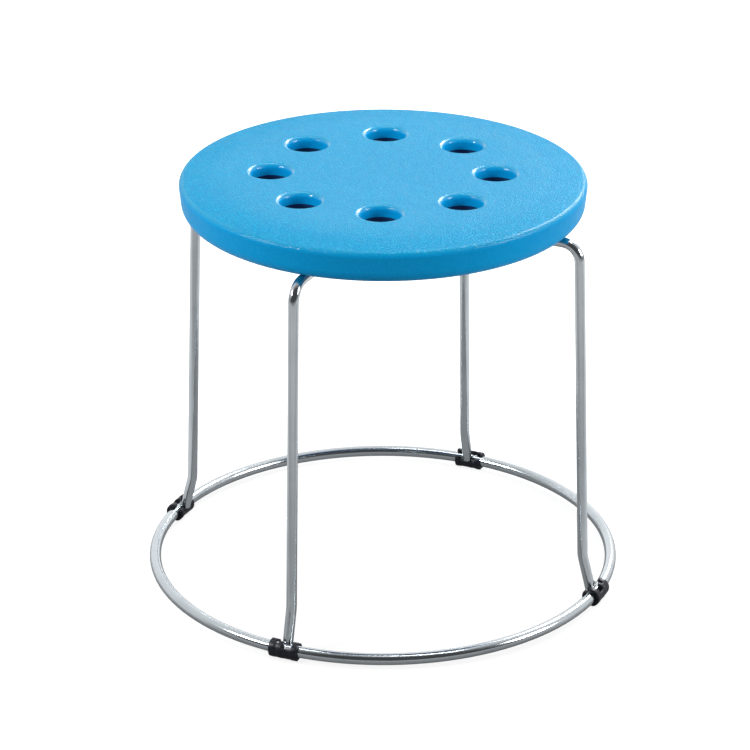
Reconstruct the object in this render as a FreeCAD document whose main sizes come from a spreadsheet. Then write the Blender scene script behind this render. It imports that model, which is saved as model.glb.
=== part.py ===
"""Stacking stool with a round moulded seat on four bent rod legs and a floor ring.

Frame: origin on the floor under the centre of the seat, +Z up, legs on the X and Y axes.
"""
import FreeCAD, Part
import math
import os
import re

import Sketcher

# Driving dimensions, in millimetres and degrees
SIZES = {
    # round moulded seat cover
    "seat_diameter": 350.0,
    "seat_rim_depth": 28.0,
    "seat_crown": 5.0,
    "seat_fall_width": 55.0,
    "seat_top_radius": 4.6,
    "seat_bottom_radius": 11.0,
    "seat_side_draft": 2.8,
    "seat_wall": 14.0,
    "seat_lip": 10.0,
    # holes through the seat
    "vent_count": 8,
    "vent_circle": 192.0,
    "vent_throat": 34.0,
    "vent_lip_radius": 4.5,
    "vent_board_clearance": 1.0,
    # plywood core board
    "board_thickness": 20.0,
    # steel plate that the legs are welded to
    "plate_diameter": 130.0,
    "plate_thickness": 3.0,
    "plate_centre_hole": 16.0,
    # bent leg rods
    "leg_rod": 9.0,
    "leg_height": 331.0,
    "shoulder_diameter": 360.0,
    "leg_spread": 10.6,
    "leg_bend_radius": 16.0,
    "leg_inner_end": 10.0,
    "knee_height": 41.5,
    "knee_bend_radius": 27.0,
    "foot_reach": 6.0,
    "foot_angle": 27.0,
    "rim_clearance": 0.3,
    # floor ring
    "ring_rod": 10.0,
    "ring_outset": 13.4,
    # floor glides
    "glide_base": 2.7,
    "glide_wall": 3.0,
    "glide_band_wall": 3.3,
    "glide_fit": 0.1,
    "glide_length": 25.0,
    "glide_end_band": 5.0,
    "glide_middle_band": 3.6,
    "glide_middle_wall": 3.2,
    "glide_middle_offset": 0.8,
    "glide_outer_edge": 30.0,
    "glide_inner_edge": 5.0,
    "band_outer_edge": 100.0,
    "band_inner_edge": 35.0,
    "middle_outer_edge": 80.0,
    "valley_outer_edge": 62.0,
    # screws, washers and threaded inserts
    "screw_circle": 84.0,
    "screw_diameter": 6.0,
    "screw_length": 17.0,
    "screw_head": 11.0,
    "screw_head_height": 3.6,
    "screw_head_bevel": 1.6,
    "screw_tip_bevel": 0.8,
    "screw_socket": 4.0,
    "screw_socket_depth": 2.2,
    "screw_clearance": 0.3,
    "washer_diameter": 14.0,
    "washer_thickness": 1.2,
    "insert_barrel": 8.6,
    "insert_flange": 19.0,
    "insert_flange_thickness": 1.5,
    "insert_barrel_length": 12.0,
    "insert_fit": 0.1,
    # weld beads
    "ring_weld": 1.0,
    "plate_weld": 2.0,
    "plate_weld_length": 22.0,
}

# Dimensions that follow from the driving ones
DERIVED = {
    "ring_height": "glide_base + ring_rod / 2 + glide_fit",
    "rod_top": "leg_height + leg_rod / 2",
    "rim_bottom": "rod_top + rim_clearance",
    "board_bottom": "rod_top + plate_thickness",
    "board_top": "board_bottom + board_thickness",
    "seat_edge": "rim_bottom + seat_rim_depth",
    "seat_top": "seat_edge + seat_crown",
    "seat_radius": "seat_diameter / 2",
    "flat_radius": "seat_radius - seat_fall_width",
    "board_radius": "seat_radius - seat_wall",
    "lip_radius": "board_radius - seat_lip",
    "vent_radius": "vent_throat / 2",
    "board_vent_radius": "vent_radius + vent_board_clearance",
    "shoulder_radius": "shoulder_diameter / 2",
    "knee_radius": "shoulder_radius + leg_spread",
    "ring_radius": "knee_radius + ring_outset",
    "foot_radius": "ring_radius - foot_reach * cos(foot_angle)",
    "foot_height": "ring_height + foot_reach * sin(foot_angle)",
    "glide_bore": "ring_rod / 2 + glide_fit",
    "glide_half": "glide_length / 2",
    "degrees_per_mm": "180 / (pi * ring_radius)",
    "washer_bottom": "rod_top - washer_thickness",
    "screw_hole": "screw_diameter / 2 + screw_clearance",
    "insert_hole": "insert_barrel / 2 + insert_fit",
}

LEG_ANGLES = {"front_right": 0, "back_right": 90, "back_left": 180, "front_left": 270}
LEG_COUNT = len(LEG_ANGLES)
# Angle from a leg to the middle of the space beside it
HALF_STEP = 180 / LEG_COUNT
# Which way round each glide was pushed on: +1 puts its closed pair of bands anticlockwise of the leg
GLIDE_SIDES = {"front_right": 1, "back_right": -1, "back_left": -1, "front_left": -1}
BEAD_SIDES = (-1, 1)
SOCKET_CORNERS = 6
TOLERANCE = 1e-3
UP = FreeCAD.Vector(0, 0, 1)

document = FreeCAD.newDocument("StackingStool")
nodes = []


def make_sheet():
    """The table of driving dimensions."""
    sheet = document.addObject("Spreadsheet::Sheet", "Sizes")
    for row, (alias, value) in enumerate(SIZES.items(), start=1):
        sheet.set(f"A{row}", alias)
        sheet.set(f"B{row}", str(value))
        sheet.setAlias(f"B{row}", alias)
    document.recompute()
    return sheet


def formula(text):
    """Spell a formula out in cells of the sheet, so that it can be bound to a property."""
    def spell(match):
        word = match.group(0)
        if word in DERIVED:
            return "(" + formula(DERIVED[word]) + ")"
        if word in SIZES:
            return "Sizes." + word
        return word
    return re.sub(r"[a-z_]+", spell, text)


def value_of(text):
    """The present value of a formula."""
    return float(sizes_sheet.evalExpression(formula(text)))


def bind(item, prop, text):
    item.setExpression(prop, formula(text))


def vector(x_text, y_text):
    return FreeCAD.Vector(value_of(x_text), value_of(y_text), 0)


def make_body(name):
    body = document.addObject("PartDesign::Body", name)
    body.Label = name
    return body


def finish_node(item, name):
    """Take an item as a sub-part of the stool."""
    item.Label = name
    nodes.append(item)


def origin_part(body, role):
    """One of the planes or axes of a body's own origin."""
    return [part for part in body.Origin.OriginFeatures if part.Role == role][0]


def plane_sketch(body, name, role):
    """A sketch on one of the body's own origin planes."""
    sketch = body.newObject("Sketcher::SketchObject", name)
    sketch.AttachmentSupport = [(origin_part(body, role), "")]
    sketch.MapMode = "FlatFace"
    return sketch


def fix_size(sketch, constraint, text):
    """Add a dimension to a sketch and bind it to a formula."""
    index = sketch.addConstraint(constraint)
    bind(sketch, f"Constraints[{index}]", text)


def fix_point(sketch, geometry, end, x_text, y_text):
    """Hold one point of a sketch at bound distances from the origin."""
    for kind, text in (("DistanceX", x_text), ("DistanceY", y_text)):
        if text == "0":
            axis = -2 if kind == "DistanceX" else -1
            sketch.addConstraint(Sketcher.Constraint("PointOnObject", geometry, end, axis))
        else:
            fix_size(sketch, Sketcher.Constraint(kind, -1, 1, geometry, end, value_of(text)), text)


def closed_outline(sketch, corners):
    """Straight lines through the corners, each held at its two formulas."""
    points = [vector(x_text, y_text) for x_text, y_text in corners]
    count = len(points)
    for index in range(count):
        sketch.addGeometry(Part.LineSegment(points[index], points[(index + 1) % count]), False)
    for index in range(count):
        sketch.addConstraint(Sketcher.Constraint("Coincident", index, 2, (index + 1) % count, 1))
        fix_point(sketch, index, 1, *corners[index])


def circle_sketch(sketch, x_text, y_text, radius_text):
    circle = Part.Circle(vector(x_text, y_text), UP, value_of(radius_text))
    index = sketch.addGeometry(circle, False)
    fix_point(sketch, index, 3, x_text, y_text)
    fix_size(sketch, Sketcher.Constraint("Radius", index, value_of(radius_text)), radius_text)


def revolve(body, sketch, name="Revolution"):
    """Turn a sketch once round the vertical axis."""
    turned = body.newObject("PartDesign::Revolution", name)
    turned.Profile = sketch
    turned.ReferenceAxis = (sketch, ["V_Axis"])
    turned.Angle = 360
    document.recompute()
    return turned


def cut_down(body, sketch, top_text, depth_text, name):
    """Cut a flat sketch, raised to a height, straight down by a depth."""
    bind(sketch, "AttachmentOffset.Base.z", top_text)
    pocket = body.newObject("PartDesign::Pocket", name)
    pocket.Profile = sketch
    bind(pocket, "Length", depth_text)
    document.recompute()
    return pocket


def repeat_round(body, features, count_text, name):
    """Repeat features round the vertical axis."""
    pattern = body.newObject("PartDesign::PolarPattern", name)
    pattern.Originals = features
    pattern.Axis = (origin_part(body, "Z_Axis"), [""])
    pattern.Angle = 360
    bind(pattern, "Occurrences", count_text)
    body.Tip = pattern
    document.recompute()
    return pattern


def edges_where(feature, test):
    """Names of the edges that pass a test."""
    return [f"Edge{index}" for index, edge in enumerate(feature.Shape.Edges, start=1) if test(edge)]


def round_edges(body, feature, test, radius_text, name):
    fillet = body.newObject("PartDesign::Fillet", name)
    fillet.Base = (feature, edges_where(feature, test))
    bind(fillet, "Radius", radius_text)
    document.recompute()
    return fillet


def is_circle(edge, radius, height):
    """Whether an edge is a full level circle of about this radius at this height."""
    if edge.Degenerated or not isinstance(edge.Curve, Part.Circle) or not edge.Closed:
        return False
    curve = edge.Curve
    return abs(curve.Radius - radius) < TOLERANCE and abs(curve.Center.z - height) < TOLERANCE


def vent_circle_sketch(body, radius_text):
    """The circle of the first vent, half a step round from the first leg's bearing."""
    sketch = plane_sketch(body, "VentOutline", "XY_Plane")
    slant = "180 / vent_count"
    circle_sketch(sketch, f"vent_circle / 2 * cos({slant})", f"vent_circle / 2 * sin({slant})", radius_text)
    return sketch


def screw_circle_sketch(body, name, radius_text):
    """A circle where the first screw goes, in the middle of the space between two legs."""
    sketch = plane_sketch(body, name, "XY_Plane")
    x_text = f"screw_circle / 2 * cos({HALF_STEP})"
    y_text = f"screw_circle / 2 * sin({HALF_STEP})"
    circle_sketch(sketch, x_text, y_text, radius_text)
    return sketch


def make_seat_cover():
    """Moulded cover: a crowned disc whose rounded rim laps under the board inside it."""
    body = make_body("seat_cover")
    outline = plane_sketch(body, "CoverOutline", "XZ_Plane")
    corners = [
        ("flat_radius", "seat_top"),
        ("0", "seat_top"),
        ("0", "board_top"),
        ("board_radius", "board_top"),
        ("board_radius", "board_bottom"),
        ("lip_radius", "board_bottom"),
        ("lip_radius", "rim_bottom"),
        ("seat_radius - seat_side_draft", "rim_bottom"),
        ("seat_radius", "seat_edge"),
    ]
    points = [vector(*corner) for corner in corners]
    for start, end in zip(points, points[1:]):
        outline.addGeometry(Part.LineSegment(start, end), False)
    fall, flat_top = len(points) - 1, 0
    fall_width = value_of("seat_fall_width")
    crown = value_of("seat_crown")
    fall_radius = (fall_width ** 2 + crown ** 2) / (2 * crown)
    fall_centre = points[0] - FreeCAD.Vector(0, fall_radius, 0)
    fall_start = math.acos(fall_width / fall_radius)
    fall_circle = Part.Circle(fall_centre, UP, fall_radius)
    outline.addGeometry(Part.ArcOfCircle(fall_circle, fall_start, math.pi / 2), False)
    for index in range(1, fall):
        outline.addConstraint(Sketcher.Constraint("Coincident", index - 1, 2, index, 1))
    outline.addConstraint(Sketcher.Constraint("Coincident", fall - 1, 2, fall, 1))
    outline.addConstraint(Sketcher.Constraint("Tangent", fall, 2, flat_top, 1))
    for index in range(fall):
        fix_point(outline, index, 1, *corners[index])
    fix_point(outline, fall, 1, *corners[fall])
    disc = revolve(body, outline)

    vent = vent_circle_sketch(body, "vent_radius")
    hole = cut_down(body, vent, "seat_top", "seat_top - board_top", "Vent")
    vents = repeat_round(body, [hole], "vent_count", "Vents")

    seat_radius = value_of("seat_radius")
    drafted = value_of("seat_radius - seat_side_draft")
    bottom = round_edges(
        body, vents, lambda edge: is_circle(edge, drafted, value_of("rim_bottom")),
        "seat_bottom_radius", "RimUnderside")
    top = round_edges(
        body, bottom, lambda edge: is_circle(edge, seat_radius, value_of("seat_edge")),
        "seat_top_radius", "RimTop")
    middle_height = value_of("(board_top + seat_edge) / 2")
    nearest = value_of("vent_circle / 2 - vent_radius")
    farthest = value_of("vent_circle / 2 + vent_radius")

    def is_vent_lip(edge):
        box = edge.BoundBox
        return box.ZMin > middle_height and nearest < math.hypot(box.Center.x, box.Center.y) < farthest
    lips = round_edges(body, top, is_vent_lip, "vent_lip_radius", "VentLips")
    body.Tip = lips
    finish_node(body, "seat_cover")


def make_seat_board():
    """Plywood core board inside the cover, bored for the vents and the threaded inserts."""
    body = make_body("seat_board")
    outline = plane_sketch(body, "BoardOutline", "XY_Plane")
    circle_sketch(outline, "0", "0", "board_radius")
    bind(outline, "AttachmentOffset.Base.z", "board_bottom")
    disc = body.newObject("PartDesign::Pad", "Disc")
    disc.Profile = outline
    bind(disc, "Length", "board_thickness")
    document.recompute()

    vent = vent_circle_sketch(body, "board_vent_radius")
    hole = cut_down(body, vent, "board_top", "board_thickness", "Vent")
    repeat_round(body, [hole], "vent_count", "Vents")

    barrel = screw_circle_sketch(body, "BarrelOutline", "insert_hole")
    bore = cut_down(body, barrel, "board_top", "board_thickness", "BarrelHole")
    repeat_round(body, [bore], str(LEG_COUNT), "BarrelHoles")

    flange = screw_circle_sketch(body, "FlangeOutline", "insert_flange / 2 + insert_fit")
    seat = cut_down(body, flange, "board_top", "insert_flange_thickness", "FlangeSeat")
    repeat_round(body, [seat], str(LEG_COUNT), "FlangeSeats")
    finish_node(body, "seat_board")


def make_mounting_plate():
    """Round steel plate under the board, with the legs welded to its underside."""
    body = make_body("mounting_plate")
    outline = plane_sketch(body, "PlateOutline", "XY_Plane")
    circle_sketch(outline, "0", "0", "plate_diameter / 2")
    circle_sketch(outline, "0", "0", "plate_centre_hole / 2")
    bind(outline, "AttachmentOffset.Base.z", "rod_top")
    disc = body.newObject("PartDesign::Pad", "Disc")
    disc.Profile = outline
    bind(disc, "Length", "plate_thickness")
    document.recompute()

    screw = screw_circle_sketch(body, "ScrewOutline", "screw_hole")
    hole = cut_down(body, screw, "board_bottom", "plate_thickness", "ScrewHole")
    repeat_round(body, [hole], str(LEG_COUNT), "ScrewHoles")
    finish_node(body, "mounting_plate")


def rounded_corner(before, corner, after, radius):
    """The arc that rounds a corner, and which of its ends, 1 or 2, comes first along the way."""
    back = (before - corner).normalize()
    ahead = (after - corner).normalize()
    half = back.getAngle(ahead) / 2
    run = radius / math.tan(half)
    centre = corner + (back + ahead).normalize() * (radius / math.sin(half))
    turns_left = ahead.cross(back).z > 0
    ends = [corner + back * run, corner + ahead * run]
    if not turns_left:
        ends.reverse()
    start_angle, end_angle = (math.atan2(end.y - centre.y, end.x - centre.x) for end in ends)
    if end_angle < start_angle:
        end_angle += 2 * math.pi
    arc = Part.ArcOfCircle(Part.Circle(centre, UP, radius), start_angle, end_angle)
    return arc, (1 if turns_left else 2)


def leg_path(body):
    """Centre line of a leg: out under the seat, down a slight splay, and in a knee onto the ring."""
    path = plane_sketch(body, "LegPath", "XZ_Plane")
    start = vector("leg_inner_end", "leg_height")
    shoulder = vector("shoulder_radius", "leg_height")
    knee = vector("knee_radius", "knee_height")
    foot = vector("foot_radius", "foot_height")
    bend, bend_first = rounded_corner(start, shoulder, knee, value_of("leg_bend_radius"))
    crook, crook_first = rounded_corner(shoulder, knee, foot, value_of("knee_bend_radius"))

    def end_point(arc, end):
        return arc.StartPoint if end == 1 else arc.EndPoint

    bend_last, crook_last = 3 - bend_first, 3 - crook_first
    pieces = [
        Part.LineSegment(start, end_point(bend, bend_first)),
        bend,
        Part.LineSegment(end_point(bend, bend_last), end_point(crook, crook_first)),
        crook,
        Part.LineSegment(end_point(crook, crook_last), foot),
    ]
    for piece in pieces:
        path.addGeometry(piece, False)
    top_run, top_bend, shank, knee_bend, shin = range(5)
    joints = [
        (top_run, 2, top_bend, bend_first), (top_bend, bend_last, shank, 1),
        (shank, 2, knee_bend, crook_first), (knee_bend, crook_last, shin, 1),
    ]
    for joint in joints:
        path.addConstraint(Sketcher.Constraint("Tangent", *joint))
    for arc, text in ((top_bend, "leg_bend_radius"), (knee_bend, "knee_bend_radius")):
        fix_size(path, Sketcher.Constraint("Radius", arc, value_of(text)), text)
    path.addConstraint(Sketcher.Constraint("Horizontal", top_run))
    fix_point(path, top_run, 1, "leg_inner_end", "leg_height")
    fix_point(path, shin, 2, "foot_radius", "foot_height")
    shoulder_point = path.addGeometry(Part.Point(shoulder), True)
    knee_point = path.addGeometry(Part.Point(knee), True)
    for point, lines in ((shoulder_point, (top_run, shank)), (knee_point, (shank, shin))):
        for line in lines:
            path.addConstraint(Sketcher.Constraint("PointOnObject", point, 1, line))
    fix_size(path, Sketcher.Constraint("DistanceX", -1, 1, shoulder_point, 1, shoulder.x), "shoulder_radius")
    fix_point(path, knee_point, 1, "knee_radius", "knee_height")
    return path


def make_leg(place, angle):
    """Bent rod leg, its foot coped to sit on the floor ring."""
    name = f"leg_{place}"
    body = make_body(name)
    path = leg_path(body)
    section = plane_sketch(body, "RodSection", "YZ_Plane")
    circle_sketch(section, "0", "leg_height", "leg_rod / 2")
    bind(section, "AttachmentOffset.Base.z", "leg_inner_end")
    document.recompute()
    rod = body.newObject("PartDesign::AdditivePipe", "Rod")
    rod.Profile = section
    rod.Spine = path
    document.recompute()
    cope = body.newObject("PartDesign::SubtractiveTorus", "Cope")
    bind(cope, "Radius1", "ring_radius")
    bind(cope, "Radius2", "ring_rod / 2")
    bind(cope, "AttachmentOffset.Base.z", "ring_height")
    cope.MapMode = "ObjectXY"
    cope.AttachmentSupport = [(origin_part(body, "XY_Plane"), "")]
    document.recompute()
    body.Placement = FreeCAD.Placement(FreeCAD.Vector(), FreeCAD.Rotation(UP, angle))
    finish_node(body, name)


def make_base_ring():
    """Round rod ring that ties the feet together."""
    ring = document.addObject("Part::Torus", "base_ring")
    bind(ring, "Radius1", "ring_radius")
    bind(ring, "Radius2", "ring_rod / 2")
    bind(ring, "Placement.Base.z", "ring_height")
    finish_node(ring, "base_ring")


def clip_section(sketch, outer_text, inner_edge_text, outer_edge_text):
    """C-shaped section round the ring rod, flat where it stands on the floor.

    The inner edge is an angle above level on the side of the stool's centre, and the
    outer edge one above level on the outside.
    """
    centre = vector("ring_radius", "ring_height")
    outer = value_of(outer_text)
    bore = value_of("glide_bore")
    inner_edge = math.radians(180 - value_of(inner_edge_text))
    outer_edge = math.radians(value_of(outer_edge_text))
    floor_half = math.acos(centre.y / outer)
    floor_left = 1.5 * math.pi - floor_half
    floor_right = 1.5 * math.pi + floor_half
    full_turn = 2 * math.pi

    def at(radius, angle):
        return centre + FreeCAD.Vector(radius * math.cos(angle), radius * math.sin(angle), 0)

    outer_circle = Part.Circle(centre, UP, outer)
    bore_circle = Part.Circle(centre, UP, bore)
    pieces = [
        Part.ArcOfCircle(outer_circle, inner_edge, floor_left),
        Part.LineSegment(at(outer, floor_left), at(outer, floor_right)),
        Part.ArcOfCircle(outer_circle, floor_right, outer_edge + full_turn),
        Part.LineSegment(at(outer, outer_edge), at(bore, outer_edge)),
        Part.ArcOfCircle(bore_circle, inner_edge, outer_edge + full_turn),
        Part.LineSegment(at(bore, inner_edge), at(outer, inner_edge)),
    ]
    for piece in pieces:
        sketch.addGeometry(piece, False)
    inner_arc, floor_line, outer_arc, outer_tip, bore_arc, inner_tip = range(6)
    joints = [
        (inner_arc, 2, floor_line, 1), (floor_line, 2, outer_arc, 1), (outer_arc, 2, outer_tip, 1),
        (outer_tip, 2, bore_arc, 2), (bore_arc, 1, inner_tip, 1), (inner_tip, 2, inner_arc, 1),
    ]
    for joint in joints:
        sketch.addConstraint(Sketcher.Constraint("Coincident", *joint))
    fix_point(sketch, bore_arc, 3, "ring_radius", "ring_height")
    for arc in (inner_arc, outer_arc):
        sketch.addConstraint(Sketcher.Constraint("Coincident", arc, 3, bore_arc, 3))
        fix_size(sketch, Sketcher.Constraint("Radius", arc, outer), outer_text)
    fix_size(sketch, Sketcher.Constraint("Radius", bore_arc, bore), "glide_bore")
    sketch.addConstraint(Sketcher.Constraint("PointOnObject", floor_line, 1, -1))
    sketch.addConstraint(Sketcher.Constraint("Horizontal", floor_line))
    for tip in (outer_tip, inner_tip):
        sketch.addConstraint(Sketcher.Constraint("PointOnObject", bore_arc, 3, tip))
    tip_angles = (
        (inner_tip, f"180 - ({inner_edge_text})", math.degrees(inner_edge)),
        (outer_tip, f"{outer_edge_text} - 180", math.degrees(outer_edge) - 180),
    )
    for tip, text, degrees in tip_angles:
        fix_size(sketch, Sketcher.Constraint("Angle", tip, math.radians(degrees)), text)


def swing_section(body, name, start_text, length_text, outer_text, inner_edge_text, outer_edge_text):
    """Carry a C-section a length along the ring, from a start counted along it from the leg."""
    sketch = plane_sketch(body, name + "Section", "XZ_Plane")
    sketch.AttachmentOffset = FreeCAD.Placement(
        FreeCAD.Vector(), FreeCAD.Rotation(FreeCAD.Vector(0, 1, 0), 1))
    bind(sketch, "AttachmentOffset.Rotation.Angle", f"({start_text}) * degrees_per_mm")
    clip_section(sketch, outer_text, inner_edge_text, outer_edge_text)
    document.recompute()
    swung = body.newObject("PartDesign::Revolution", name)
    swung.Profile = sketch
    swung.ReferenceAxis = (sketch, ["V_Axis"])
    bind(swung, "Angle", f"({length_text}) * degrees_per_mm")
    document.recompute()


def make_glide(place, angle, side):
    """Push-on glide: a low saddle under the ring, a band over it at each end and one beside the leg.

    Each part of it starts a distance along the ring from the leg, towards the middle band's side.
    """
    name = f"glide_{place}"
    body = make_body(name)
    valley = "glide_middle_offset + glide_middle_band"
    parts = [
        ("Saddle", "-glide_half", "glide_length", "glide_wall", "glide_inner_edge", "glide_outer_edge"),
        ("NearBand", "-glide_half", "glide_end_band", "glide_band_wall", "band_inner_edge", "band_outer_edge"),
        ("MiddleBand", "glide_middle_offset", "glide_middle_band", "glide_middle_wall",
         "glide_inner_edge", "middle_outer_edge"),
        ("Valley", valley, f"glide_half - glide_end_band - ({valley})", "glide_wall",
         "glide_inner_edge", "valley_outer_edge"),
        ("FarBand", "glide_half - glide_end_band", "glide_end_band", "glide_band_wall",
         "band_inner_edge", "band_outer_edge"),
    ]
    for part_name, start, length, wall, inner_edge, outer_edge in parts:
        if side < 0:
            start = f"-({start}) - ({length})"
        swing_section(body, part_name, start, length, f"ring_rod / 2 + {wall}", inner_edge, outer_edge)
    body.Placement = FreeCAD.Placement(FreeCAD.Vector(), FreeCAD.Rotation(UP, angle))
    finish_node(body, name)


def ring_of_turned_pieces(name, corners):
    """One turned piece beside the first leg's bearing, repeated into each space between the legs.

    Each corner is a distance from the piece's own axis and a height.
    """
    body = make_body(name)
    body.AllowCompound = True
    outline = plane_sketch(body, "Outline", "XZ_Plane")
    axis_place = "screw_circle / 2"
    placed = [(f"{axis_place} + {out}" if out != "0" else axis_place, height) for out, height in corners]
    closed_outline(outline, placed)
    lowest = vector(axis_place, corners[0][1])
    axis_line = outline.addGeometry(Part.LineSegment(lowest, lowest + FreeCAD.Vector(0, 1, 0)), True)
    outline.addConstraint(Sketcher.Constraint("Vertical", axis_line))
    fix_point(outline, axis_line, 1, axis_place, corners[0][1])
    turned = body.newObject("PartDesign::Revolution", "Turned")
    turned.Profile = outline
    turned.ReferenceAxis = (outline, ["Axis0"])
    turned.Angle = 360
    document.recompute()
    return body, turned


def place_between_legs(body, features):
    """Repeat features once per leg and turn the whole set into the spaces between the legs."""
    repeat_round(body, features, str(LEG_COUNT), "Set")
    body.Placement = FreeCAD.Placement(FreeCAD.Vector(), FreeCAD.Rotation(UP, HALF_STEP))


def make_seat_screws():
    """Button-head machine screws with hexagon sockets, driven up from under the plate."""
    head_bottom = "washer_bottom - screw_head_height"
    tip = "washer_bottom + screw_length"
    corners = [
        ("0", head_bottom),
        ("screw_head / 2 - screw_head_bevel", head_bottom),
        ("screw_head / 2", f"{head_bottom} + screw_head_bevel"),
        ("screw_head / 2", "washer_bottom"),
        ("screw_diameter / 2", "washer_bottom"),
        ("screw_diameter / 2", f"{tip} - screw_tip_bevel"),
        ("screw_diameter / 2 - screw_tip_bevel", tip),
        ("0", tip),
    ]
    body, screw = ring_of_turned_pieces("seat_screws", corners)
    socket = plane_sketch(body, "SocketOutline", "XY_Plane")
    corner_reach = "screw_socket / sqrt(3)"
    hexagon = []
    for index in range(SOCKET_CORNERS):
        turn = 360 / SOCKET_CORNERS * index
        y_text = f"{corner_reach} * sin({turn})" if turn % 180 else "0"
        hexagon.append((f"screw_circle / 2 + {corner_reach} * cos({turn})", y_text))
    closed_outline(socket, hexagon)
    recess = cut_down(body, socket, f"{head_bottom} + screw_socket_depth", "screw_socket_depth", "Socket")
    place_between_legs(body, [screw, recess])
    finish_node(body, "seat_screws")


def make_screw_washers():
    """Flat washers between the screw heads and the plate."""
    corners = [
        ("screw_hole", "washer_bottom"),
        ("washer_diameter / 2", "washer_bottom"),
        ("washer_diameter / 2", "rod_top"),
        ("screw_hole", "rod_top"),
    ]
    body, washer = ring_of_turned_pieces("screw_washers", corners)
    place_between_legs(body, [washer])
    finish_node(body, "screw_washers")


def make_threaded_inserts():
    """Flanged steel inserts let into the top of the board before the cover is moulded over it."""
    bore = "screw_diameter / 2 + insert_fit"
    flange_bottom = "board_top - insert_flange_thickness"
    barrel_end = f"{flange_bottom} - insert_barrel_length"
    corners = [
        (bore, barrel_end),
        ("insert_barrel / 2", barrel_end),
        ("insert_barrel / 2", flange_bottom),
        ("insert_flange / 2", flange_bottom),
        ("insert_flange / 2", "board_top"),
        (bore, "board_top"),
    ]
    body, insert = ring_of_turned_pieces("threaded_inserts", corners)
    place_between_legs(body, [insert])
    finish_node(body, "threaded_inserts")


def shape_node(name, solids):
    """A sub-part made of finished solids."""
    item = document.addObject("Part::Feature", name)
    item.Shape = Part.makeCompound(solids)
    finish_node(item, name)


def turned_to_legs(solid):
    """A copy of a solid for each leg."""
    copies = []
    for angle in LEG_ANGLES.values():
        copy = solid.copy()
        copy.rotate(FreeCAD.Vector(), UP, angle)
        copies.append(copy)
    return copies


def make_ring_welds(ring, leg):
    """Weld beads that follow the seam between each leg's foot and the ring."""
    knee = FreeCAD.Vector(value_of("knee_radius"), 0, value_of("knee_height"))
    foot = FreeCAD.Vector(value_of("foot_radius"), 0, value_of("foot_height"))
    bead = value_of("ring_weld")
    along = (knee - foot).normalize()
    collar = Part.makeCylinder(
        value_of("leg_rod / 2") + bead, value_of("ring_rod"), foot - along * bead, along)
    skin = Part.makeTorus(value_of("ring_radius"), value_of("ring_rod / 2") + bead)
    skin.translate(FreeCAD.Vector(0, 0, value_of("ring_height")))
    seam = collar.common(skin).cut(ring.Shape).cut(leg.Shape)
    shape_node("ring_welds", turned_to_legs(seam.Solids[0]))


def make_plate_welds(plate, leg):
    """A weld bead along each side of every leg where it crosses the edge of the plate."""
    bead = value_of("plate_weld")
    length = value_of("plate_weld_length")
    outer_end = value_of("plate_diameter / 2") - bead
    beads = []
    for side in BEAD_SIDES:
        start = FreeCAD.Vector(outer_end - length, side * value_of("leg_rod / 2"), value_of("rod_top"))
        bar = Part.makeCylinder(bead, length, start, FreeCAD.Vector(1, 0, 0))
        for end in (start, start + FreeCAD.Vector(length, 0, 0)):
            bar = bar.fuse(Part.makeSphere(bead, end))
        beads += turned_to_legs(bar.cut(plate.Shape).cut(leg.Shape).Solids[0])
    shape_node("plate_welds", beads)


def node_named(label):
    return [node for node in nodes if node.Label == label][0]


sizes_sheet = make_sheet()
make_seat_cover()
make_seat_board()
make_mounting_plate()
make_base_ring()
for place, angle in LEG_ANGLES.items():
    make_leg(place, angle)
    make_glide(place, angle, GLIDE_SIDES[place])
make_seat_screws()
make_screw_washers()
make_threaded_inserts()
make_ring_welds(node_named("base_ring"), node_named("leg_front_right"))
make_plate_welds(node_named("mounting_plate"), node_named("leg_front_right"))

for item in document.Objects:
    bad = [state for state in item.State if state in ("Invalid", "Error")]
    if bad:
        raise RuntimeError(f"{item.Name} failed: {bad}")
os.makedirs("parts", exist_ok=True)
for node in nodes:
    shape = node.Shape
    if shape.isNull() or not shape.isValid():
        raise RuntimeError(f"{node.Label} has no valid shape")
    print(node.Label, "solids", len(shape.Solids), "volume", round(shape.Volume))
    shape.exportStep(f"parts/{node.Label}.step")
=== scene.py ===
"""Looks of the stacking stool: finishes, floor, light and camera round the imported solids.

Lengths are in metres. Colours are linear, and a finish has a darker and a lighter tone.
"""

import math

import bpy
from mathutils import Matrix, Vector


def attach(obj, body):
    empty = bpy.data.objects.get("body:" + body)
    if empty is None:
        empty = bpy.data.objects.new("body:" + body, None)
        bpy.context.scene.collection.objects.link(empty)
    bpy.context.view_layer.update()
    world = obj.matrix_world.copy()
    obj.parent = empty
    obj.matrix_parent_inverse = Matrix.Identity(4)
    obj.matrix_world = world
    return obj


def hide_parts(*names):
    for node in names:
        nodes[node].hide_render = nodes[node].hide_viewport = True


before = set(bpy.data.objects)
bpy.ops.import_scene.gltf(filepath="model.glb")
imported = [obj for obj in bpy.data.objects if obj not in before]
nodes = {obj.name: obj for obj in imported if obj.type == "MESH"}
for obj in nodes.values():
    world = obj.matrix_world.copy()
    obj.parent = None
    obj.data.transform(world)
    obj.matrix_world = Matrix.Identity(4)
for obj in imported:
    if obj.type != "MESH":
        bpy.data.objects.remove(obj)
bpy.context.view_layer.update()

MM = 0.001
LEG_NODES = ["leg_front_right", "leg_back_right", "leg_back_left", "leg_front_left"]
GLIDE_NODES = ["glide_front_right", "glide_back_right", "glide_back_left", "glide_front_left"]

# Camera, from the seat, ring and legs of the photograph
CAMERA_TURN = math.radians(23.86)
CAMERA_REACH = 2.6319
CAMERA_HEIGHT = 1.3601
CAMERA_PITCH = math.radians(24.175)
CAMERA_YAW = math.radians(0.1532)
LENS = 157.81
TO_CAMERA = (math.sin(CAMERA_TURN), -math.cos(CAMERA_TURN), 0)

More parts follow.
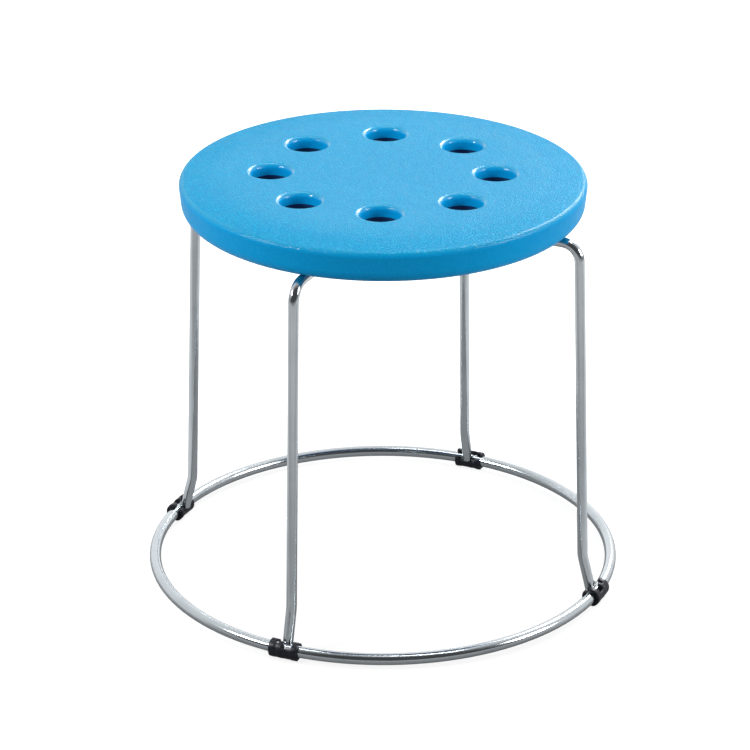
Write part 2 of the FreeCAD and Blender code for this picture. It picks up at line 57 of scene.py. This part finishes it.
# Blue moulding: tones for the grained top and the plainer side that are painted light (less blue
# on top, as if under sheen, a stronger blue down the side), painted glints on the grain, painted
# shade in its hollows, and the grain itself
SEAT_TOP_PAINTED_LIGHT = ((0.000, 0.334, 0.580), (0.000, 0.358, 0.610))
SEAT_SIDE_PAINTED_LIGHT = ((0.000, 0.315, 0.690), (0.000, 0.335, 0.720))
SEAT_PAINTED_GLINT = (0.020, 0.490, 0.770)
SEAT_PAINTED_CREASE_SHADE = (0.000, 0.265, 0.560)
PEBBLE = 2.3 * MM
PEBBLE_WOBBLE = 1.6 * MM
PEBBLE_PUSH = 1.3 * MM
PORE = 0.7 * MM
PORE_SHARE = 0.6
PAINTED_GLINT_SIZE = 1.9 * MM
GRAIN_DEPTH = 0.30 * MM
WAVE = 70 * MM
WAVE_DEPTH = 0.6 * MM
RIM_START, RIM_FULL = 0.140, 0.155

# Dark plywood, tinted navy: the tint is painted blue bounce light from the seat
PLY_TONES_PAINTED_BOUNCE = ((0.003, 0.026, 0.105), (0.008, 0.050, 0.170))
PLY_LINE = (0.002, 0.015, 0.055)
VENEER = 1.6 * MM

# Metals and rubber
CHROME_TONES = ((0.570, 0.620, 0.655), (0.620, 0.670, 0.705))
WELD_TONES = ((0.30, 0.31, 0.32), (0.42, 0.43, 0.44))
ZINC_TONES = ((0.45, 0.46, 0.47), (0.58, 0.58, 0.57))
RUBBER_TONES = ((0.004, 0.005, 0.011), (0.011, 0.013, 0.024))

# Glides with rounded edges
GLIDE_VOXEL = 0.45 * MM
GLIDE_ROUNDS = 5
GLIDE_FACES_KEPT = 0.3
GLIDE_SOLE = 0.2 * MM

# Floor and backdrop: strengths as seen, as metal shows them, and as light on the stool
FLOOR_SIZE = 40
FLOOR_SEEN = 0.83
FLOOR_IN_METAL = 0.08
BACKDROP_SEEN = 1.0
ROOM_LIGHT = 0.32
# Brightness of the room in metal, from behind the stool (0) to behind the camera (1)
ROOM = [(0.0, 1.20), (0.12, 1.0), (0.42, 0.78), (0.60, 0.38), (0.75, 0.07)]

# Lamps: name, distance to the right of, behind and above the stool as the camera sees it,
# width and height, and watts
LAMPS = (
    ("key", 1.00, 1.70, 1.55, (0.70, 1.10), 36),
    ("right", 2.05, -0.60, 1.05, (0.80, 0.80), 28),
    ("left", -1.90, -0.75, 1.50, (0.80, 0.45), 34),
    ("overhead", 0.0, 0.0, 2.30, (2.00, 0.12), 10),
)
LAMP_TARGET = (0, 0, 0.25)

# Sockets of a Mix node when it mixes colours
MIX_FIRST, MIX_SECOND, MIX_RESULT = 6, 7, 2


class Shading:
    """A node tree with short calls for the nodes that it is made of."""

    def __init__(self, owner, shader, place):
        owner.use_nodes = True
        self.tree = owner.node_tree
        self.shader = self.tree.nodes[shader]
        self.place = self.add("ShaderNodeTexCoord").outputs[place]

    def add(self, kind, **settings):
        node = self.tree.nodes.new(kind)
        for key, value in settings.items():
            setattr(node, key, value)
        return node

    def join(self, value, socket):
        """Link an output to a socket, or set the socket to a plain value."""
        if isinstance(value, bpy.types.NodeSocket):
            self.tree.links.new(value, socket)
        else:
            socket.default_value = value

    def set(self, **values):
        """Set or link sockets of the main shader, with _ for a space in their names."""
        for key, value in values.items():
            self.join(value, self.shader.inputs[key.replace("_", " ")])

    def math(self, operation, *values):
        node = self.add("ShaderNodeMath", operation=operation)
        for value, socket in zip(values, node.inputs):
            self.join(value, socket)
        return node.outputs[0]

    def along(self, direction):
        """How far a point lies along a direction."""
        node = self.add("ShaderNodeVectorMath", operation="DOT_PRODUCT")
        self.join(self.place, node.inputs[0])
        node.inputs[1].default_value = direction
        return node.outputs["Value"]

    def outward(self):
        """How far a point lies from the stool's upright axis."""
        flat = self.add("ShaderNodeVectorMath", operation="LENGTH")
        self.join(self.stretched((1, 1, 0)), flat.inputs[0])
        return flat.outputs["Value"]

    def by_ray(self, seen, in_metal, otherwise):
        """A strength as seen, also through glass, one as metal shows it, and one for the light."""
        path = self.add("ShaderNodeLightPath")
        strength = otherwise
        levels = {"Is Glossy Ray": in_metal, "Is Transmission Ray": seen, "Is Camera Ray": seen}
        for name, level in levels.items():
            node = self.add("ShaderNodeMix")
            self.join(path.outputs[name], node.inputs["Factor"])
            self.join(strength, node.inputs["A"])
            self.join(level, node.inputs["B"])
            strength = node.outputs["Result"]
        return strength

    def noise(self, size, detail=3.0, rough=0.5, place=None, distortion=0.0):
        """Noise whose features are about size across."""
        node = self.add("ShaderNodeTexNoise")
        self.join(place or self.place, node.inputs["Vector"])
        node.inputs["Scale"].default_value = 1 / size
        node.inputs["Detail"].default_value = detail
        node.inputs["Roughness"].default_value = rough
        node.inputs["Distortion"].default_value = distortion
        return node.outputs["Fac"]

    def cells(self, size, feature="F1", place=None, output="Distance"):
        """Cells of about a size, as the distance in them or as a colour for each."""
        node = self.add("ShaderNodeTexVoronoi", feature=feature)
        self.join(place or self.place, node.inputs["Vector"])
        node.inputs["Scale"].default_value = 1 / size
        return node.outputs[output]

    def stretched(self, scale):
        """The place scaled along each axis."""
        node = self.add("ShaderNodeMapping")
        self.join(self.place, node.inputs["Vector"])
        node.inputs["Scale"].default_value = scale
        return node.outputs["Vector"]

    def wobbled(self, size, reach):
        """The place pushed about by noise, so that cells lose their straight sides."""
        noise = self.add("ShaderNodeTexNoise")
        self.join(self.place, noise.inputs["Vector"])
        noise.inputs["Scale"].default_value = 1 / size
        push = self.add("ShaderNodeVectorMath", operation="MULTIPLY_ADD")
        self.join(noise.outputs["Color"], push.inputs[0])
        push.inputs[1].default_value = (reach, reach, reach)
        self.join(self.place, push.inputs[2])
        return push.outputs[0]

    def ramp(self, value, stops, ease=False):
        """Colours or greys by value; stops are (position, colour or grey)."""
        node = self.add("ShaderNodeValToRGB")
        node.color_ramp.interpolation = "EASE" if ease else "LINEAR"
        elements = node.color_ramp.elements
        while len(elements) < len(stops):
            elements.new(0.5)
        for element, (position, tone) in zip(elements, stops):
            element.position = position
            element.color = (*tone, 1) if hasattr(tone, "__len__") else (tone, tone, tone, 1)
        self.join(value, node.inputs["Fac"])
        return node.outputs["Color"]

    def between(self, value, low, high, ends):
        """From one colour or grey to the other as a value goes from low to high."""
        return self.ramp(value, [(low, ends[0]), (high, ends[1])])

    def mix(self, share, first, second):
        node = self.add("ShaderNodeMix", data_type="RGBA")
        self.join(share, node.inputs["Factor"])
        for tone, socket in ((first, node.inputs[MIX_FIRST]), (second, node.inputs[MIX_SECOND])):
            self.join((*tone, 1) if isinstance(tone, tuple) else tone, socket)
        return node.outputs[MIX_RESULT]

    def bump(self, height, depth, strength=1.0, below=None):
        """Relief of a depth; below is the relief that it lies on."""
        node = self.add("ShaderNodeBump")
        node.inputs["Strength"].default_value = strength
        node.inputs["Distance"].default_value = depth
        self.join(height, node.inputs["Height"])
        if below:
            self.join(below, node.inputs["Normal"])
        return node.outputs["Normal"]


class Material(Shading):
    """A node material of the stool or the floor."""

    def __init__(self, name):
        self.material = bpy.data.materials.new(name)
        super().__init__(self.material, "Principled BSDF", "Object")

    def on(self, *names):
        """Give the finish to CAD nodes."""
        for name in names:
            slots = nodes[name].data.materials
            slots.clear()
            slots.append(self.material)


def moulded_seat():
    """Blue plastic: pebbled on top, plainer down the side, glossy on the lips of the vents, with
    painted light, painted glints and painted crease shade in its colour.
    """
    finish = Material("blue_moulding")
    upward = finish.add("ShaderNodeSeparateXYZ")
    finish.join(finish.add("ShaderNodeTexCoord").outputs["Normal"], upward.inputs[0])
    tilt = upward.outputs["Z"]
    rim = finish.between(finish.outward(), RIM_START, RIM_FULL, (0.0, 1.0))

    # How strong the grain is
    inside = finish.ramp(tilt, [(0.3, 0.12), (0.9, 0.2), (0.985, 0.9)])
    over_rim = finish.math("MULTIPLY", rim, finish.between(tilt, 0.3, 0.75, (0.15, 0.6)))
    grained = finish.math("MAXIMUM", inside, over_rim)

    # Relief
    place = finish.wobbled(PEBBLE_WOBBLE, PEBBLE_PUSH)
    pebbles = finish.cells(PEBBLE, "DISTANCE_TO_EDGE", place)
    grain = finish.ramp(pebbles, [(0.0, 0.0), (0.28, 1.0)], ease=True)
    pores = finish.math("MULTIPLY", finish.noise(PORE, detail=2), PORE_SHARE)
    height = finish.math("MULTIPLY", finish.math("ADD", grain, pores), grained)
    broad = finish.noise(WAVE, detail=2)
    relief = finish.bump(height, GRAIN_DEPTH, below=finish.bump(broad, WAVE_DEPTH, 0.25))

    # Colour, with painted light: a top tone less blue, as if under sheen, and a stronger blue down
    # the side, blended by how far the surface faces up
    top_painted_light = finish.between(broad, 0.35, 0.65, SEAT_TOP_PAINTED_LIGHT)
    side_painted_light = finish.between(broad, 0.35, 0.65, SEAT_SIDE_PAINTED_LIGHT)
    tone = finish.mix(finish.between(tilt, 0.3, 0.97, (0.0, 1.0)), side_painted_light, top_painted_light)
    # Painted glints: light spots on the grain that stand in for a lamp's highlight sparkling on it
    painted_glints = finish.between(finish.noise(PAINTED_GLINT_SIZE, detail=2), 0.48, 0.66, (0.0, 1.0))
    with_painted_glints = finish.mix(finish.math("MULTIPLY", painted_glints, grained), tone, SEAT_PAINTED_GLINT)
    # Painted shade: the creases between the pebbles are darker
    painted_crease_shade = finish.math("MULTIPLY", finish.math("SUBTRACT", 1.0, grain), grained)

    gloss = finish.ramp(tilt, [(0.2, 0.06), (0.45, 1.0), (0.95, 1.0), (0.985, 0.14)])
    duller_rim = finish.between(rim, 0.0, 1.0, (1.0, 0.4))
    finish.set(
        Base_Color=finish.mix(painted_crease_shade, with_painted_glints, SEAT_PAINTED_CREASE_SHADE), Normal=relief,
        Roughness=finish.between(finish.noise(9 * MM), 0.3, 0.7, (0.36, 0.46)),
        Specular_IOR_Level=0.07, Coat_Weight=finish.math("MULTIPLY", gloss, duller_rim),
        Coat_Roughness=0.08, Coat_Normal=relief)
    finish.on("seat_cover")


def dark_plywood_painted_bounce():
    """Dark plywood tinted navy with painted blue bounce light: fibres along the board and the
    layers' lines at its edges.
    """
    finish = Material("dark_plywood")
    layers = finish.add("ShaderNodeTexWave", wave_type="BANDS", bands_direction="Z")
    finish.join(finish.place, layers.inputs["Vector"])
    layers.inputs["Scale"].default_value = 1 / (2 * math.pi * VENEER)
    layers.inputs["Distortion"].default_value = 0.4
    fibres = finish.noise(1.1 * MM, detail=5, rough=0.65, place=finish.stretched((0.06, 1, 1)))
    figure = finish.noise(
        14 * MM, detail=3, place=finish.stretched((0.12, 1, 1)), distortion=1.5)
    grain = finish.mix(0.45, fibres, figure)
    tone = finish.between(grain, 0.3, 0.7, PLY_TONES_PAINTED_BOUNCE)
    lines = finish.math("MULTIPLY", layers.outputs["Fac"], 0.35)
    finish.set(
        Base_Color=finish.mix(lines, tone, PLY_LINE), Specular_IOR_Level=0.25,
        Roughness=finish.between(fibres, 0.3, 0.7, (0.5, 0.75)),
        Normal=finish.bump(grain, 0.15 * MM, 0.6))
    finish.on("seat_board")


def chrome():
    """Bright plating with a faint haze and marks drawn out along the posts."""
    finish = Material("bright_chrome")
    haze = finish.noise(22 * MM, detail=4)
    draw = finish.noise(0.8 * MM, detail=2, place=finish.stretched((1, 1, 0.03)))
    finish.set(
        Base_Color=finish.between(haze, 0.35, 0.65, CHROME_TONES), Metallic=1.0,
        Roughness=finish.between(draw, 0.3, 0.7, (0.13, 0.18)),
        Normal=finish.bump(haze, 0.12 * MM, 0.35))
    finish.on("base_ring", *LEG_NODES)


def plated_welds():
    """Rippled beads under the plating."""
    finish = Material("plated_weld")
    ripples = finish.cells(1.1 * MM, "SMOOTH_F1")
    finish.set(
        Base_Color=finish.between(finish.noise(3 * MM), 0.3, 0.7, WELD_TONES), Metallic=1.0,
        Roughness=finish.between(ripples, 0.2, 0.8, (0.2, 0.36)),
        Normal=finish.bump(ripples, 0.2 * MM, 0.7))
    finish.on("ring_welds", "plate_welds")


def zinc_plate():
    """Dull zinc with a spangle, on the plate and the fasteners."""
    finish = Material("zinc_plate")
    spangle = finish.cells(2.5 * MM, output="Color")
    fine = finish.noise(0.6 * MM, detail=4)
    finish.set(
        Base_Color=finish.between(finish.noise(6 * MM), 0.3, 0.7, ZINC_TONES), Metallic=1.0,
        Roughness=finish.between(finish.mix(0.5, spangle, fine), 0.3, 0.7, (0.26, 0.40)),
        Normal=finish.bump(fine, 0.03 * MM, 0.5))
    finish.on("mounting_plate", "seat_screws", "screw_washers", "threaded_inserts")


def black_rubber():
    """Scuffed black rubber, on the glides with rounded edges."""
    finish = Material("black_rubber")
    fine = finish.noise(0.35 * MM, detail=3)
    scuffs = finish.noise(4 * MM, detail=4, rough=0.7)
    finish.set(
        Base_Color=finish.between(scuffs, 0.4, 0.75, RUBBER_TONES),
        Roughness=finish.between(scuffs, 0.3, 0.7, (0.30, 0.44)),
        Normal=finish.bump(fine, 0.03 * MM, 0.5), Specular_IOR_Level=0.35)
    for name in GLIDE_NODES:
        rounded_copy(name).data.materials.append(finish.material)


def rounded_copy(name):
    """A glide with its moulded edges rounded over, in the place of the plain solid."""
    piece = bpy.data.objects.new("moulded_" + name, nodes[name].data.copy())
    bpy.context.scene.collection.objects.link(piece)
    piece.data.materials.clear()
    remesh = piece.modifiers.new("even", "REMESH")
    remesh.mode = "VOXEL"
    remesh.voxel_size = GLIDE_VOXEL
    relax = piece.modifiers.new("round", "SMOOTH")
    relax.factor = 0.5
    relax.iterations = GLIDE_ROUNDS
    thin = piece.modifiers.new("thin", "DECIMATE")
    thin.ratio = GLIDE_FACES_KEPT
    depsgraph = bpy.context.evaluated_depsgraph_get()
    shaped = bpy.data.meshes.new_from_object(piece.evaluated_get(depsgraph))
    piece.modifiers.clear()
    piece.data = shaped
    for vertex in shaped.vertices:
        if vertex.co.z < GLIDE_SOLE:
            vertex.co.z = 0.0
    shaped.shade_smooth()
    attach(piece, "root")
    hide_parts(name)
    return piece


def pale_floor():
    """A pale floor, white where it is seen, that keeps the stool's shadow; its colour holds
    painted shade, darker under and in front of the stool, which the chrome shows.
    """
    bpy.ops.mesh.primitive_plane_add(size=FLOOR_SIZE, location=(0, 0, 0))
    floor = bpy.context.object
    floor.name = "studio_floor"
    finish = Material("studio_floor")
    mottle = finish.math("MULTIPLY", finish.noise(0.4, detail=2), 0.04)
    nearness = finish.math("ADD", finish.along(TO_CAMERA), mottle)
    # Painted shade: the floor's colour is darker in front of the stool and under the seat, where
    # the chrome reflects it
    painted_shade_ahead = finish.ramp(nearness, [(0.0, 0.55), (0.35, 0.26), (0.85, 0.44)])
    painted_shade_under_seat = finish.between(finish.outward(), 0.190, 0.270, (0.42, 1.0))
    finish.set(
        Base_Color=finish.math("MULTIPLY", painted_shade_ahead, painted_shade_under_seat),
        Roughness=0.9, Specular_IOR_Level=0.0, Emission_Color=(1, 1, 1, 1),
        Emission_Strength=finish.by_ray(FLOOR_SEEN, FLOOR_IN_METAL, 0.0))
    floor.data.materials.append(finish.material)


def studio_world():
    """A white backdrop, and the room that metal shows: bright behind the stool, dark in front."""
    world = bpy.data.worlds.new("studio")
    bpy.context.scene.world = world
    sky = Shading(world, "Background", "Generated")
    front = sky.math("MULTIPLY_ADD", sky.along(TO_CAMERA), 0.5, 0.5)
    sky.set(
        Color=(1, 1, 1, 1), Strength=sky.by_ray(BACKDROP_SEEN, sky.ramp(front, ROOM), ROOM_LIGHT))


def studio_lamps():
    """Soft lamps that the camera doesn't see."""
    for name, right, back, up, size, power in LAMPS:
        lamp = bpy.data.lights.new(name, "AREA")
        lamp.shape = "RECTANGLE"
        lamp.size, lamp.size_y = size
        lamp.energy = power
        item = bpy.data.objects.new(name, lamp)
        item.location = (
            right * math.cos(CAMERA_TURN) - back * math.sin(CAMERA_TURN),
            right * math.sin(CAMERA_TURN) + back * math.cos(CAMERA_TURN), up)
        aim = Vector(LAMP_TARGET) - item.location
        item.rotation_euler = aim.to_track_quat("-Z", "Y").to_euler()
        item.visible_camera = False
        bpy.context.scene.collection.objects.link(item)


def photo_camera():
    """The camera of the photograph."""
    camera = bpy.data.cameras.new("camera")
    camera.lens = LENS
    item = bpy.data.objects.new("camera", camera)
    item.location = (
        CAMERA_REACH * math.sin(CAMERA_TURN), -CAMERA_REACH * math.cos(CAMERA_TURN),
        CAMERA_HEIGHT)
    item.rotation_euler = (math.pi / 2 - CAMERA_PITCH, 0, CAMERA_TURN + CAMERA_YAW)
    bpy.context.scene.collection.objects.link(item)
    bpy.context.scene.camera = item


moulded_seat()
dark_plywood_painted_bounce()
chrome()
plated_welds()
zinc_plate()
black_rubber()
pale_floor()
studio_world()
studio_lamps()
photo_camera()
bpy.context.scene.view_settings.view_transform = "Standard"
